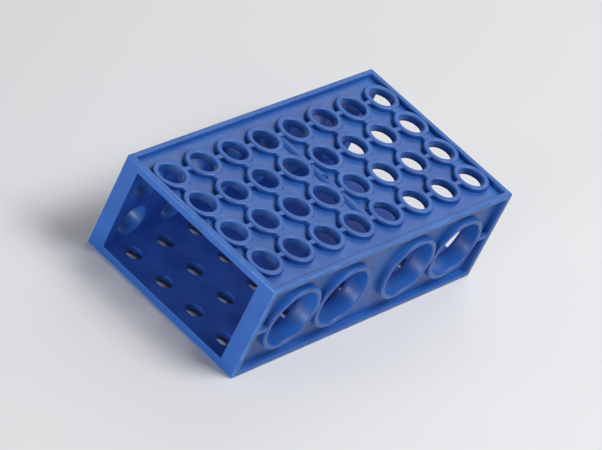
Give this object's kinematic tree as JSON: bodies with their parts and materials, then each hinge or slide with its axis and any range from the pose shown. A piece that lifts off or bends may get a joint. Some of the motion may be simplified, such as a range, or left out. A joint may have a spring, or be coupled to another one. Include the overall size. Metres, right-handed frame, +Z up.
{
  "type": "microcentrifuge tube rack",
  "caption": "Four-way rack for laboratory tubes: a rectangular hollow block open at both ends, with rows of ringed holes of a different size in each of its four long faces.",
  "frame": {"origin": "middle of the face the rack stands on, on the plane of its lowest surface", "axes": "+X along the length; +Z up, towards the face with the 1.5 mL holes; -Y is the face with the 50 mL holes and +Y the face with the 15 mL holes"},
  "size_m": [0.175, 0.095, 0.052],
  "materials": {
    "body": "satin injection-moulded polypropylene"
  },
  "bodies": {
    "root": {"rack": "body"}
  },
  "joints": []
}
